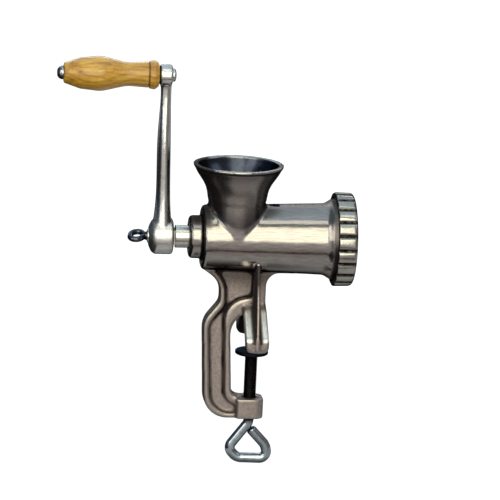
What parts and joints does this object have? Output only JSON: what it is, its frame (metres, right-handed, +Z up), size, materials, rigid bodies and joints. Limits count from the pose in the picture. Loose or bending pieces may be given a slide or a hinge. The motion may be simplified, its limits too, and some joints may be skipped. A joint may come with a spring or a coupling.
{
  "type": "manual meat grinder",
  "caption": "Clamp-on hand cranked meat grinder: cast body with hopper and screw clamp, auger, knife, drilled plate, lobed ring nut, and a crank with a turned wooden grip.",
  "frame": {"origin": "on the table top, midway between the two clamp feet, on the clamp screw's axis", "axes": "+Z up, +X along the barrel towards the outlet, the crank at -X"},
  "size_m": [0.2693, 0.086, 0.3701],
  "materials": {
    "casting": "hot tinned, satin",
    "ring": "hot tinned, satin",
    "crank": "tinned, glossy",
    "auger_iron": "tinned",
    "steel": "turned",
    "blade_steel": "ground",
    "black_steel": "oil blackened",
    "clamp_steel": "zinc plated",
    "pad_black": "blackened",
    "beech": "clear varnish",
    "fibre": "vulcanised fibre"
  },
  "bodies": {
    "casting": {"body_casting": "casting", "plate_key_pin": "steel"},
    "crank_drive": {"auger": "auger_iron", "thrust_washer": "fibre", "knife_stud": "steel", "knife": "blade_steel", "crank_arm": "crank", "handle_screw": "steel", "grip_washer": "steel", "handle_nut": "steel"},
    "grip": {"wooden_grip": "beech"},
    "plate": {"grinding_plate": "blade_steel"},
    "ring_nut": {"ring_nut": "ring"},
    "thumb_screw_washer": {"crank_screw_washer": "steel"},
    "thumb_screw": {"crank_screw": "black_steel"},
    "clamp_pad": {"clamp_pad": "pad_black"},
    "clamp_screw": {"clamp_screw": "clamp_steel"}
  },
  "joints": [
    {"name": "crank_turn", "type": "hinge", "parent": "casting", "child": "crank_drive", "pos_m": [0, 0, 0.097], "axis": [1, 0, 0], "continuous": true},
    {"name": "grip_spin", "type": "hinge", "parent": "crank_drive", "child": "grip", "pos_m": [-0.13, 0, 0.2425], "axis": [1, 0, 0], "continuous": true},
    {"name": "plate_out", "type": "slide", "parent": "casting", "child": "plate", "axis": [1, 0, 0], "range_m": [0, 0.01055]},
    {"name": "ring_nut_turn", "type": "hinge", "parent": "plate", "child": "ring_nut", "pos_m": [0.078, 0, 0.097], "axis": [1, 0, 0], "range_deg": [0, 1260]},
    {"name": "thumb_screw_out", "type": "slide", "parent": "crank_drive", "child": "thumb_screw_washer", "axis": [-1, 0, 0], "range_m": [0, 0.01105]},
    {"name": "thumb_screw_turn", "type": "hinge", "parent": "thumb_screw_washer", "child": "thumb_screw", "pos_m": [-0.1, 0, 0.097], "axis": [-1, 0, 0], "range_deg": [0, 3960]},
    {"name": "pad_lift", "type": "slide", "parent": "casting", "child": "clamp_pad", "axis": [0, 0, 1], "range_m": [-0.03605, 0.00155]},
    {"name": "clamp_screw_turn", "type": "hinge", "parent": "clamp_pad", "child": "clamp_screw", "pos_m": [0, 0, -0.05], "axis": [0, 0, 1], "range_deg": [-8640, 360]}
  ],
  "couplings": [
    {"joint": "plate_out", "follows": "ring_nut_turn", "m_per_rad": 0.00047746},
    {"joint": "thumb_screw_out", "follows": "thumb_screw_turn", "m_per_rad": 0.00015915},
    {"joint": "pad_lift", "follows": "clamp_screw_turn", "m_per_rad": 0.00023873}
  ]
}
